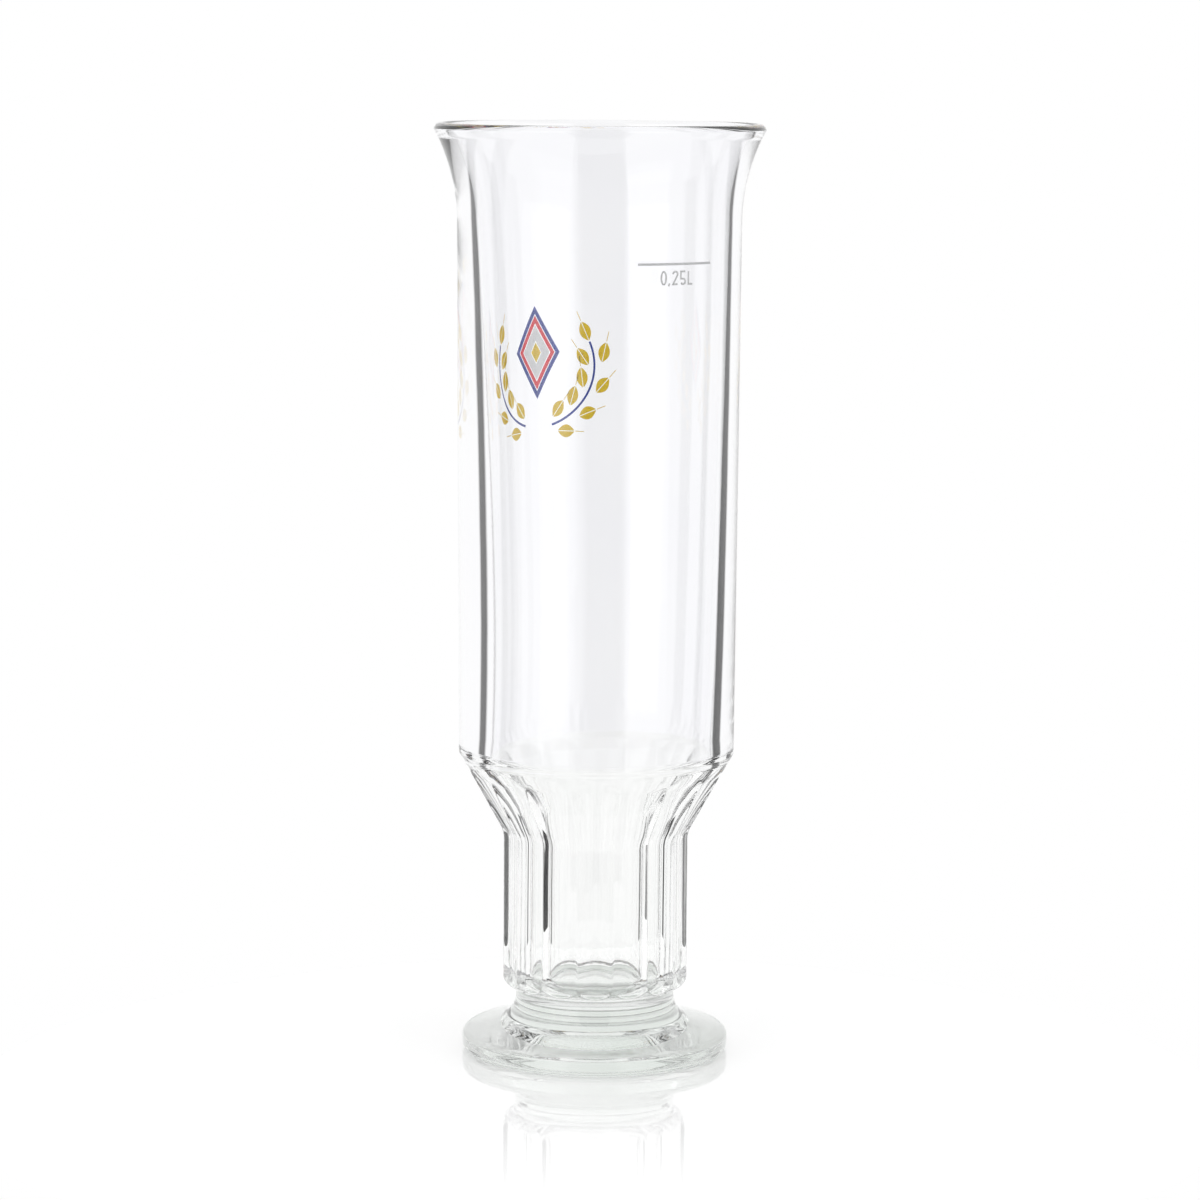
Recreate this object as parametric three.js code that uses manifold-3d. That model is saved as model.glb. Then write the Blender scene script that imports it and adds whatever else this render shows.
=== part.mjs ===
// Footed beer glass of thick clear pressed glass, with a capacity mark and a printed badge.
// Millimetres, +Z up, the glass stands on the plane z = 0 with its axis on Z and its front towards -Y.

import * as THREE from 'three';
import { mergeVertices } from 'three/addons/utils/BufferGeometryUtils.js';
import Module from 'manifold-3d';

// Bowl
const RIM_HEIGHT = 199;
const RIM_RADIUS = 35;
const LIP_THICKNESS = 2.8;
const FLARE_HEIGHT = 21;
const BOWL_TOP_RADIUS = 30.1;
const BOWL_BASE_RADIUS = 29.5;
const BOWL_TOP_BORE = 26.8;
const BOWL_BASE_BORE = 23.6;

// Joint between bowl and stem
const STEP_HEIGHT = 65.5;

// Fluted stem
const SHOULDER_ANGLE = THREE.MathUtils.degToRad(29);
const SHOULDER_TOP_CURVE = 1.6;
const SHOULDER_FOOT_CURVE = 6;
const SHANK_RADIUS = 20.1;
const SHANK_BOTTOM = 13.9;
const FUNNEL_ANGLE = THREE.MathUtils.degToRad(37);
const FUNNEL_TOP_CURVE = 0.8;
const FUNNEL_FOOT_CURVE = 20;
const SHANK_BORE = 13.6;
const WELL_FLOOR = 14.2;
const WELL_CORNER = 4.2;
const FLUTE_COUNT = 16;
const FLUTE_DEPTH = 0.9;
const FLUTE_TOP = 63.4;
const FLUTE_RUNOUT = 3;

// Joint between stem and foot
const NECK_RADIUS = 17.05;
const NECK_HEIGHT = 12;

// Foot
const FOOT_RADIUS = 28.6;
const FOOT_BOTTOM_CURVE = 1.8;
const FOOT_SIDE = 1.4;
const FOOT_TOP_CURVE = 1.6;
const DOME_SLOPE = THREE.MathUtils.degToRad(17);
const REST_WIDTH = 8;
const RECESS_DEPTH = 0.8;

// Fused joints are modelled as a narrow gap between neighbouring solids
const JOINT_GAP = 0.3;

// Ink layer on the bowl
const INK_GAP = 0.1;
const INK_THICKNESS = 0.2;

// Capacity mark, measured round the bowl from the front towards +X
const MARK_AZIMUTH = THREE.MathUtils.degToRad(32.4);
const MARK_HEIGHT = 170.8;
const MARK_LENGTH = 18;
const MARK_STROKE = 0.5;
const FIGURE_DROP = 1.1;
const FIGURE_HEIGHT = 3;
const FIGURE_WIDTH = 1.5;
const FIGURE_STROKE = 0.4;
const FIGURE_SPACING = 0.42;
const TWO_BOW_END = THREE.MathUtils.degToRad(-36);
const FIVE_BOW_END = THREE.MathUtils.degToRad(-153);
const MITRE_LIMIT = 2;

// Badge, measured round the bowl from the back towards -X
const BADGE_AZIMUTH = THREE.MathUtils.degToRad(34);
const BADGE_HEIGHT = 145;
const LOZENGE_WIDTH = 13.6;
const LOZENGE_HEIGHT = 20;
const LOZENGE_LIFT = 2.8;
const FRAME_BAND = 0.95;
const INK_SEAM = 0.2;
const FIELD_BAND = 1.9;
const EAR_CLEARANCE = 3.5;
const EAR_START = THREE.MathUtils.degToRad(16);
const EAR_END = THREE.MathUtils.degToRad(112);
const GRAIN_LENGTH = 4.6;
const GRAIN_WIDTH = 2.8;
const GRAIN_LEAN = THREE.MathUtils.degToRad(26);
const STALK_WIDTH = 0.5;

// Fineness of round surfaces
const ROUND_SEGMENTS = 64;
const SEGMENTS_PER_FLUTE = 4;
const CURVE_STEPS = 2;
const FLUTE_ROWS = 3;
const INK_STEPS = 4;

const wasm = await Module();
wasm.setup();

// Materials
const GLASS = 0xdfe6e3;
const GLASS_ROUGHNESS = 0.04;
const INK_ROUGHNESS = 0.35;
const GOLD_INK = 0xf0c000;
const NAVY_INK = 0x1d2f6f;
const RED_INK = 0xc02030;
const PALE_INK = 0xd9dbdd;
const GREY_INK = 0x9a9c9e;

function glassMaterial() {
  return new THREE.MeshStandardMaterial({ color: GLASS, roughness: GLASS_ROUGHNESS, metalness: 0 });
}

function inkMaterial(color) {
  return new THREE.MeshStandardMaterial({ color, roughness: INK_ROUGHNESS, metalness: 0 });
}

// A solid of revolution whose section is a closed path of radius and height
function revolve(path, segments) {
  const geometry = new THREE.LatheGeometry(path.getPoints(CURVE_STEPS), segments);
  return geometry.rotateX(Math.PI / 2);
}

function namedMesh(name, geometry, material) {
  const mesh = new THREE.Mesh(geometry, material);
  mesh.name = name;
  return mesh;
}

// Radius of an arc that leaves an upright line and reaches a point to its side
function flareCurve(sideways, upwards) {
  return (sideways * sideways + upwards * upwards) / (2 * sideways);
}

// Bowl
const FLARE_START = RIM_HEIGHT - FLARE_HEIGHT;
const LIP_HEIGHT = RIM_HEIGHT - LIP_THICKNESS / 2;
const LIP_CENTRE = RIM_RADIUS - LIP_THICKNESS / 2;
const FLARE_REACH = LIP_HEIGHT - FLARE_START;

function bowlWall(height) {
  const share = (height - STEP_HEIGHT) / (FLARE_START - STEP_HEIGHT);
  return THREE.MathUtils.lerp(BOWL_BASE_RADIUS, BOWL_TOP_RADIUS, Math.min(share, 1));
}

function bowlRadius(height) {
  const above = Math.max(height - FLARE_START, 0);
  const curve = flareCurve(RIM_RADIUS - BOWL_TOP_RADIUS, FLARE_REACH);
  return bowlWall(height) + curve - Math.sqrt(curve * curve - above * above);
}

function bowlPath() {
  const outerCurve = flareCurve(RIM_RADIUS - BOWL_TOP_RADIUS, FLARE_REACH);
  const outerTurn = Math.asin(FLARE_REACH / outerCurve);
  const boreLip = RIM_RADIUS - LIP_THICKNESS;
  const innerCurve = flareCurve(boreLip - BOWL_TOP_BORE, FLARE_REACH);
  const innerTurn = Math.asin(FLARE_REACH / innerCurve);
  const base = STEP_HEIGHT + JOINT_GAP / 2;
  const path = new THREE.Path();
  path.moveTo(BOWL_BASE_BORE, base);
  path.lineTo(BOWL_BASE_RADIUS, base);
  path.lineTo(BOWL_TOP_RADIUS, FLARE_START);
  path.absarc(BOWL_TOP_RADIUS + outerCurve, FLARE_START, outerCurve, Math.PI, Math.PI - outerTurn, true);
  path.absarc(LIP_CENTRE, LIP_HEIGHT, LIP_THICKNESS / 2, 0, Math.PI / 2, false);
  path.absarc(LIP_CENTRE, LIP_HEIGHT, LIP_THICKNESS / 2, Math.PI / 2, Math.PI, false);
  path.absarc(BOWL_TOP_BORE + innerCurve, FLARE_START, innerCurve, Math.PI - innerTurn, Math.PI, false);
  path.lineTo(BOWL_BASE_BORE, base);
  return path;
}

// Fluted stem
function shoulderRun(topRadius, footRadius, angle, topCurve, footCurve) {
  const bend = 1 - Math.cos(angle);
  const straightTop = topRadius - topCurve * bend;
  const straightFoot = footRadius + footCurve * bend;
  const straightDrop = (straightTop - straightFoot) / Math.tan(angle);
  const topDrop = topCurve * Math.sin(angle);
  const footDrop = footCurve * Math.sin(angle);
  return { straightTop, straightFoot, topDrop, footDrop, drop: topDrop + straightDrop + footDrop };
}

const SHOULDER = shoulderRun(
  BOWL_BASE_RADIUS, SHANK_RADIUS, SHOULDER_ANGLE, SHOULDER_TOP_CURVE, SHOULDER_FOOT_CURVE);
const FUNNEL = shoulderRun(
  BOWL_BASE_BORE, SHANK_BORE, FUNNEL_ANGLE, FUNNEL_TOP_CURVE, FUNNEL_FOOT_CURVE);

// Height rows along the straight shoulder keep the arched flute tops crisp
function addShoulder(path) {
  const foot = STEP_HEIGHT - SHOULDER.drop;
  const straightBase = foot + SHOULDER.footDrop;
  const straightEnd = STEP_HEIGHT - SHOULDER.topDrop;
  path.absarc(
    SHANK_RADIUS + SHOULDER_FOOT_CURVE, foot, SHOULDER_FOOT_CURVE, Math.PI, Math.PI - SHOULDER_ANGLE, true);
  const runoutStart = FLUTE_TOP - FLUTE_RUNOUT;
  for (let row = 0; row <= FLUTE_ROWS; row += 1) {
    const height = runoutStart + (FLUTE_RUNOUT * row) / FLUTE_ROWS;
    if (height > straightBase && height < straightEnd) {
      path.lineTo(SHOULDER.straightTop - (straightEnd - height) * Math.tan(SHOULDER_ANGLE), height);
    }
  }
  path.absarc(
    BOWL_BASE_RADIUS - SHOULDER_TOP_CURVE, STEP_HEIGHT - JOINT_GAP / 2, SHOULDER_TOP_CURVE,
    -SHOULDER_ANGLE, 0, false);
}

function addFunnel(path) {
  const foot = STEP_HEIGHT - FUNNEL.drop;
  path.lineTo(BOWL_BASE_BORE, STEP_HEIGHT - JOINT_GAP / 2);
  path.absarc(
    BOWL_BASE_BORE - FUNNEL_TOP_CURVE, STEP_HEIGHT - JOINT_GAP / 2, FUNNEL_TOP_CURVE, 0, -FUNNEL_ANGLE, true);
  path.absarc(
    SHANK_BORE + FUNNEL_FOOT_CURVE, foot, FUNNEL_FOOT_CURVE, Math.PI - FUNNEL_ANGLE, Math.PI, false);
  path.absarc(
    SHANK_BORE - WELL_CORNER, WELL_FLOOR + WELL_CORNER, WELL_CORNER, 0, -Math.PI / 2, true);
  path.lineTo(0, WELL_FLOOR);
}

function stemPath() {
  const corner = SHANK_RADIUS - NECK_RADIUS;
  const path = new THREE.Path();
  path.moveTo(0, NECK_HEIGHT + JOINT_GAP / 2);
  path.lineTo(NECK_RADIUS, NECK_HEIGHT + JOINT_GAP / 2);
  path.absarc(NECK_RADIUS, SHANK_BOTTOM + corner, corner, -Math.PI / 2, 0, false);
  addShoulder(path);
  addFunnel(path);
  return path;
}

// Radius of the ridges between flutes, which follow the stem and its shoulder
function ridgeRadius(height) {
  const foot = STEP_HEIGHT - SHOULDER.drop;
  const climb = Math.max(height - foot, 0);
  if (climb < SHOULDER.footDrop) {
    const curve = SHOULDER_FOOT_CURVE;
    return SHANK_RADIUS + curve - Math.sqrt(curve * curve - climb * climb);
  }
  return SHOULDER.straightFoot + (climb - SHOULDER.footDrop) * Math.tan(SHOULDER_ANGLE);
}

// A flute is a concave groove between two ridges, and it runs out into an arch at its top
function fluteRadius(height, azimuth) {
  const pitch = (2 * Math.PI) / FLUTE_COUNT;
  const fromMiddle = azimuth - pitch * Math.round(azimuth / pitch);
  const runout = THREE.MathUtils.clamp((height - FLUTE_TOP) / FLUTE_RUNOUT + 1, 0, 2);
  return ridgeRadius(height) + FLUTE_DEPTH * (runout - Math.cos((FLUTE_COUNT * fromMiddle) / 2));
}

function cutFlutes(geometry) {
  const position = geometry.attributes.position;
  for (let index = 0; index < position.count; index += 1) {
    const x = position.getX(index);
    const y = position.getY(index);
    const radius = Math.hypot(x, y);
    const fluted = fluteRadius(position.getZ(index), Math.atan2(y, x));
    const shrink = fluted < radius ? fluted / radius : 1;
    position.setXY(index, x * shrink, y * shrink);
  }
  return geometry;
}

// Foot: a recessed underside, a rounded edge and a sloping dome that sweeps up into the neck
function footPath() {
  const restOuter = FOOT_RADIUS - FOOT_BOTTOM_CURVE;
  const restInner = restOuter - REST_WIDTH;
  const recessCurve = flareCurve(RECESS_DEPTH, restInner);
  const recessTurn = Math.asin(restInner / recessCurve);
  const edgeCentre = FOOT_RADIUS - FOOT_TOP_CURVE;
  const edgeHeight = FOOT_BOTTOM_CURVE + FOOT_SIDE;
  const domeReach = edgeCentre + FOOT_TOP_CURVE * Math.sin(DOME_SLOPE) - NECK_RADIUS;
  const domeBase = edgeHeight + FOOT_TOP_CURVE * Math.cos(DOME_SLOPE);
  const neckBase = NECK_HEIGHT - JOINT_GAP / 2;
  // The sweep touches both the slope of the dome and the upright neck
  const leftToClimb = neckBase - domeBase - domeReach * Math.tan(DOME_SLOPE);
  const sweep = leftToClimb / (1 / Math.cos(DOME_SLOPE) - Math.tan(DOME_SLOPE));
  const path = new THREE.Path();
  path.moveTo(0, RECESS_DEPTH);
  path.absarc(
    0, RECESS_DEPTH - recessCurve, recessCurve, Math.PI / 2, Math.PI / 2 - recessTurn, true);
  path.absarc(restOuter, FOOT_BOTTOM_CURVE, FOOT_BOTTOM_CURVE, -Math.PI / 2, 0, false);
  path.absarc(edgeCentre, edgeHeight, FOOT_TOP_CURVE, 0, Math.PI / 2 - DOME_SLOPE, false);
  path.absarc(NECK_RADIUS + sweep, neckBase, sweep, -Math.PI / 2 - DOME_SLOPE, -Math.PI, true);
  path.lineTo(0, neckBase);
  return path;
}

// Joins and cuts between closed solids
function toSolid(geometry) {
  const bare = geometry.clone();
  bare.deleteAttribute('normal');
  bare.deleteAttribute('uv');
  const merged = mergeVertices(bare);
  return new wasm.Manifold(new wasm.Mesh({
    numProp: 3,
    vertProperties: new Float32Array(merged.attributes.position.array),
    triVerts: new Uint32Array(merged.index.array),
  }));
}

function toGeometry(solid) {
  const mesh = solid.getMesh();
  const geometry = new THREE.BufferGeometry();
  geometry.setAttribute('position', new THREE.BufferAttribute(mesh.vertProperties, 3));
  geometry.setIndex(new THREE.BufferAttribute(mesh.triVerts, 1));
  geometry.computeVertexNormals();
  return geometry;
}

// A thin layer round the bowl between two heights, from which ink patches are cut
function inkLayer(low, high) {
  const section = new THREE.Path();
  section.moveTo(bowlRadius(low) + INK_GAP, low);
  section.lineTo(bowlRadius(low) + INK_GAP + INK_THICKNESS, low);
  section.lineTo(bowlRadius(high) + INK_GAP + INK_THICKNESS, high);
  section.lineTo(bowlRadius(high) + INK_GAP, high);
  section.lineTo(bowlRadius(low) + INK_GAP, low);
  return toSolid(revolve(section, ROUND_SEGMENTS));
}

// Widths are measured round the bowl, so they shorten towards the sides of a straight cut
function foreshorten(points, radius) {
  return points.map((point) => new THREE.Vector2(radius * Math.sin(point.x / radius), point.y));
}

// An ink patch whose flat outline is laid on the bowl at an azimuth from the front and a height
function inkPatch(layer, outline, azimuth, height) {
  const radius = bowlRadius(height);
  const { shape, holes } = outline.extractPoints(INK_STEPS);
  const flat = new THREE.Shape(foreshorten(shape, radius));
  flat.holes = holes.map((hole) => new THREE.Path(foreshorten(hole, radius)));
  const cutter = new THREE.ExtrudeGeometry(flat, { depth: RIM_RADIUS, bevelEnabled: false });
  cutter.rotateX(Math.PI / 2);
  cutter.rotateZ(azimuth);
  cutter.translate(0, 0, height);
  return toGeometry(layer.intersect(toSolid(cutter)));
}

// Outline of a pen stroke of even width along a list of points, with mitred corners
function strokeOutline(points, width) {
  const sides = [[], []];
  points.forEach((point, index) => {
    const before = points[Math.max(index - 1, 0)];
    const after = points[Math.min(index + 1, points.length - 1)];
    const arriving = point.clone().sub(index > 0 ? before : after).normalize();
    const leaving = after.clone().sub(point).normalize();
    const from = index > 0 ? arriving : leaving;
    const to = index < points.length - 1 ? leaving : arriving;
    const along = from.clone().add(to).normalize();
    const reach = (width / 2) * Math.min(1 / along.dot(to), MITRE_LIMIT);
    sides[0].push(new THREE.Vector2(point.x - along.y * reach, point.y + along.x * reach));
    sides[1].unshift(new THREE.Vector2(point.x + along.y * reach, point.y - along.x * reach));
  });
  return new THREE.Shape([...sides[0], ...sides[1]]);
}

function polyline(...pairs) {
  return pairs.map(([x, y]) => new THREE.Vector2(x, y));
}

// Figures of the capacity mark, drawn about their own middle at the middle of their height
const FIGURE_HALF = (FIGURE_HEIGHT - FIGURE_STROKE) / 2;
const FIGURE_SIDE = (FIGURE_WIDTH - FIGURE_STROKE) / 2;

function figureZero() {
  const outer = new THREE.Vector2(FIGURE_WIDTH, FIGURE_HEIGHT).divideScalar(2);
  const inner = outer.clone().subScalar(FIGURE_STROKE);
  const shape = new THREE.Shape();
  shape.absellipse(0, 0, outer.x, outer.y, 0, 2 * Math.PI, false);
  const hole = new THREE.Path();
  hole.absellipse(0, 0, inner.x, inner.y, 0, 2 * Math.PI, true);
  shape.holes.push(hole);
  return shape;
}

function figureComma() {
  const top = FIGURE_STROKE / 2 - FIGURE_HALF;
  const tail = -FIGURE_STROKE - FIGURE_HALF;
  return strokeOutline(polyline([0, top], [-FIGURE_STROKE / 2, tail]), FIGURE_STROKE);
}

function figureTwo() {
  const bow = FIGURE_HALF - FIGURE_SIDE;
  const path = new THREE.Path();
  path.absarc(0, bow, FIGURE_SIDE, Math.PI, TWO_BOW_END, true);
  path.lineTo(-FIGURE_SIDE, -FIGURE_HALF);
  path.lineTo(FIGURE_SIDE, -FIGURE_HALF);
  return strokeOutline(path.getPoints(INK_STEPS), FIGURE_STROKE);
}

function figureFive() {
  const bow = FIGURE_SIDE - FIGURE_HALF;
  const path = new THREE.Path();
  path.moveTo(FIGURE_SIDE, FIGURE_HALF);
  path.lineTo(-FIGURE_SIDE, FIGURE_HALF);
  path.lineTo(-FIGURE_SIDE, bow + FIGURE_SIDE);
  path.absarc(0, bow, FIGURE_SIDE, Math.PI / 2, FIVE_BOW_END, true);
  return strokeOutline(path.getPoints(INK_STEPS), FIGURE_STROKE);
}

function letterL() {
  const corner = [-FIGURE_SIDE, -FIGURE_HALF];
  const ends = [[-FIGURE_SIDE, FIGURE_HALF], [FIGURE_SIDE, -FIGURE_HALF]];
  return strokeOutline(polyline(ends[0], corner, ends[1]), FIGURE_STROKE);
}

const FIGURES = [
  { name: 'mark_zero', outline: figureZero(), width: FIGURE_WIDTH },
  { name: 'mark_comma', outline: figureComma(), width: FIGURE_STROKE },
  { name: 'mark_two', outline: figureTwo(), width: FIGURE_WIDTH },
  { name: 'mark_five', outline: figureFive(), width: FIGURE_WIDTH },
  { name: 'mark_litre', outline: letterL(), width: FIGURE_WIDTH },
];

function rectangle(width, height) {
  return new THREE.Shape(polyline(
    [-width / 2, -height / 2], [width / 2, -height / 2], [width / 2, height / 2], [-width / 2, height / 2]));
}

// Capacity mark: a level line with its figures centred below it
function capacityMark() {
  const group = new THREE.Group();
  const radius = bowlRadius(MARK_HEIGHT);
  const figureMiddle = MARK_HEIGHT - MARK_STROKE / 2 - FIGURE_DROP - FIGURE_HEIGHT / 2;
  const layer = inkLayer(figureMiddle - FIGURE_HEIGHT, MARK_HEIGHT + MARK_STROKE);
  const line = inkPatch(layer, rectangle(MARK_LENGTH, MARK_STROKE), MARK_AZIMUTH, MARK_HEIGHT);
  group.add(namedMesh('mark_line', line, inkMaterial(GREY_INK)));
  const widths = FIGURES.reduce((sum, figure) => sum + figure.width, 0);
  let cursor = -(widths + FIGURE_SPACING * (FIGURES.length - 1)) / 2;
  for (const { name, outline, width } of FIGURES) {
    const azimuth = MARK_AZIMUTH + (cursor + width / 2) / radius;
    group.add(namedMesh(name, inkPatch(layer, outline, azimuth, figureMiddle), inkMaterial(GREY_INK)));
    cursor += width + FIGURE_SPACING;
  }
  return group;
}

// Badge: nested lozenges between two upswept ears of barley
function lozenge(width, height) {
  return new THREE.Shape(polyline([-width / 2, 0], [0, -height / 2], [width / 2, 0], [0, height / 2]));
}

// Insetting a lozenge by a band shortens both of its diagonals
function insetLozenge(inset) {
  const lengthen = 2 * Math.hypot(1 / LOZENGE_WIDTH, 1 / LOZENGE_HEIGHT) * inset;
  return [LOZENGE_WIDTH * (1 - lengthen), LOZENGE_HEIGHT * (1 - lengthen)];
}

function lozengeBand(outerInset, innerInset) {
  const shape = lozenge(...insetLozenge(outerInset));
  shape.holes.push(lozenge(...insetLozenge(innerInset)));
  return shape;
}

function grain(lean) {
  const along = new THREE.Vector2(Math.sin(lean), Math.cos(lean)).multiplyScalar(GRAIN_LENGTH / 2);
  const across = new THREE.Vector2(Math.cos(lean), -Math.sin(lean)).multiplyScalar(GRAIN_WIDTH);
  const shape = new THREE.Shape();
  shape.moveTo(-along.x, -along.y);
  shape.quadraticCurveTo(across.x, across.y, along.x, along.y);
  shape.quadraticCurveTo(-across.x, -across.y, -along.x, -along.y);
  return shape;
}

// Each ear follows part of an ellipse that keeps clear of the lozenge
const GRAIN_SPREAD = (GRAIN_WIDTH + STALK_WIDTH) / 2 + (GRAIN_LENGTH / 2) * Math.sin(GRAIN_LEAN);
const EAR_REACH = LOZENGE_WIDTH / 2 + EAR_CLEARANCE + 2 * GRAIN_SPREAD;
const EAR_FALL = LOZENGE_HEIGHT / 2 - LOZENGE_LIFT + EAR_CLEARANCE + GRAIN_SPREAD;

function earCurve(side) {
  const start = -Math.PI / 2 + side * EAR_START;
  const end = -Math.PI / 2 + side * EAR_END;
  return new THREE.EllipseCurve(0, 0, EAR_REACH, EAR_FALL, start, end, side < 0);
}

function addInk(group, layer, name, outline, centre, ink) {
  const radius = bowlRadius(BADGE_HEIGHT);
  const azimuth = Math.PI + BADGE_AZIMUTH + centre.x / radius;
  const geometry = inkPatch(layer, outline, azimuth, BADGE_HEIGHT + centre.y);
  group.add(namedMesh(name, geometry, inkMaterial(ink)));
}

// As many pairs of grains as the ear has room for, leaning outwards from the stalk
function barleyEar(group, layer, side, label) {
  const curve = earCurve(side);
  const pairs = Math.floor(curve.getLength() / (GRAIN_LENGTH + INK_SEAM));
  const middle = curve.getPointAt(0.5);
  const stalk = curve.getSpacedPoints(2 * INK_STEPS).map((point) => point.sub(middle));
  addInk(group, layer, `ear_${label}_stalk`, strokeOutline(stalk, STALK_WIDTH), middle, NAVY_INK);
  const tip = curve.getTangentAt(1);
  const tipCentre = curve.getPointAt(1).add(tip.clone().multiplyScalar(INK_SEAM + GRAIN_LENGTH / 2));
  addInk(group, layer, `ear_${label}_tip`, grain(Math.atan2(tip.x, tip.y)), tipCentre, GOLD_INK);
  for (let pair = 0; pair < pairs; pair += 1) {
    const share = (pair + 0.5) / pairs;
    const along = curve.getTangentAt(share);
    const heading = Math.atan2(along.x, along.y);
    for (const row of [-1, 1]) {
      const sideways = new THREE.Vector2(along.y, -along.x).multiplyScalar(row * GRAIN_SPREAD);
      const centre = curve.getPointAt(share).add(sideways);
      const name = `ear_${label}_grain_${pair + 1}${row < 0 ? 'a' : 'b'}`;
      addInk(group, layer, name, grain(heading + row * GRAIN_LEAN), centre, GOLD_INK);
    }
  }
}

function badge() {
  const group = new THREE.Group();
  const reach = Math.max(LOZENGE_HEIGHT / 2 + LOZENGE_LIFT, EAR_FALL + GRAIN_SPREAD) + GRAIN_LENGTH;
  const layer = inkLayer(BADGE_HEIGHT - reach, BADGE_HEIGHT + reach);
  const centre = new THREE.Vector2(0, LOZENGE_LIFT);
  const band = FRAME_BAND + INK_SEAM;
  addInk(group, layer, 'lozenge_frame', lozengeBand(0, FRAME_BAND), centre, NAVY_INK);
  addInk(group, layer, 'lozenge_border', lozengeBand(band, band + FRAME_BAND), centre, RED_INK);
  addInk(group, layer, 'lozenge_field', lozengeBand(2 * band, 2 * band + FIELD_BAND), centre, PALE_INK);
  const core = lozenge(...insetLozenge(2 * band + FIELD_BAND + INK_SEAM));
  addInk(group, layer, 'lozenge_core', core, centre, GOLD_INK);
  barleyEar(group, layer, -1, 'left');
  barleyEar(group, layer, 1, 'right');
  return group;
}

// The whole glass
const beerGlass = new THREE.Group();
beerGlass.add(namedMesh('bowl', revolve(bowlPath(), ROUND_SEGMENTS), glassMaterial()));
beerGlass.add(namedMesh(
  'fluted_stem', cutFlutes(revolve(stemPath(), FLUTE_COUNT * SEGMENTS_PER_FLUTE)), glassMaterial()));
beerGlass.add(namedMesh('foot', revolve(footPath(), ROUND_SEGMENTS), glassMaterial()));
beerGlass.add(capacityMark());
beerGlass.add(badge());

export default beerGlass;
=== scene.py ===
"""A footed beer glass of clear glass, with a fluted stem, a capacity mark and a printed badge."""
import math

import bmesh
import bpy
from mathutils import Matrix, Vector


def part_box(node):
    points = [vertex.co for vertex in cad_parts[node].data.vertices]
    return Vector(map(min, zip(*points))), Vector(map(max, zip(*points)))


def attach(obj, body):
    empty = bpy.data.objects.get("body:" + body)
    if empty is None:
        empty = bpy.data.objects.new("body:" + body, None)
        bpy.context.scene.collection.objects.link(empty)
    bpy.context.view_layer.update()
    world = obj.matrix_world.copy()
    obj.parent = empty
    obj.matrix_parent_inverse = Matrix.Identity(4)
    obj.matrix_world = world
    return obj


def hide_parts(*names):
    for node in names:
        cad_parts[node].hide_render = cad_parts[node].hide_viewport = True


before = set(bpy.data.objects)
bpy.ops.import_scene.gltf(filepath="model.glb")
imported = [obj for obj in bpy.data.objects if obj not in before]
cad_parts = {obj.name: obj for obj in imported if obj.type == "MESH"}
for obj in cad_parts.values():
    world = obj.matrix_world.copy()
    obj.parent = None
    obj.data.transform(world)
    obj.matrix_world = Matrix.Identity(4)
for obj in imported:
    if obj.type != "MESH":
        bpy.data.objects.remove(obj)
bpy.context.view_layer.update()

# Bowl
# The drinking bowl is a thick tube of clear soda-lime glass that widens to a flared rim. It is blown
# in a mould, and its lip is then melted round in a flame, so the skin is glossy and faintly wavy.
MM = 0.001
TINY = MM * MM
ROUND = 480
RIM_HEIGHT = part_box("bowl")[1].z
RIM_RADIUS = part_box("bowl")[1].x
STEP_HEIGHT = (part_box("bowl")[0].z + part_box("fluted_stem")[1].z) / 2
LIP_THICKNESS = 2.8 * MM
FLARE_HEIGHT = 21 * MM
FLARE_START = RIM_HEIGHT - FLARE_HEIGHT
BOWL_TOP_RADIUS = 30.1 * MM
BOWL_BASE_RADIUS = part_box("fluted_stem")[1].x
BOWL_TOP_BORE = 26.8 * MM
BOWL_BASE_BORE = 23.6 * MM
BORE_SWELL = 1.5
BORE_DRIFT = 1.25 * MM
DRIFT_HEIGHT = 100 * MM
DRIFT_START = 30 * MM
SEAM_HEIGHT = 0.5 * MM
SEAM_DEPTH = 0.05 * MM
SEAM_STEPS = 8
CRISP_ANGLE = 40
LEVEL_FACE = 0.99
GLASS_IOR = 1.5
# Scales of noise are per metre: the tint drifts over some 33 mm, and a smear is about 5 mm across.
TINT_SCALE = 30
SMEAR_SCALE = 220
SMEAR_ROUGHNESS = 0.02


def arc(centre, radius, start, end, steps):
    """Points of a round stretch of an outline, between two angles in degrees."""
    turns = [math.radians(start + (end - start) * step / steps) for step in range(steps + 1)]
    return [(centre[0] + radius * math.cos(turn), centre[1] + radius * math.sin(turn)) for turn in turns]


def straight(start, end, steps):
    """Points of a straight stretch of an outline, without its last one."""
    shares = [step / steps for step in range(steps)]
    return [tuple(a + (b - a) * share for a, b in zip(start, end)) for share in shares]


def add_object(name, data):
    """Puts a mesh, a lamp or a camera into the scene."""
    thing = bpy.data.objects.new(name, data)
    bpy.context.scene.collection.objects.link(thing)
    return thing


def end_build(build, name):
    """Ends the building of a mesh, and puts it into the scene under its name."""
    mesh = bpy.data.meshes.new(name)
    build.to_mesh(mesh)
    build.free()
    return add_object(name, mesh)


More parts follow.
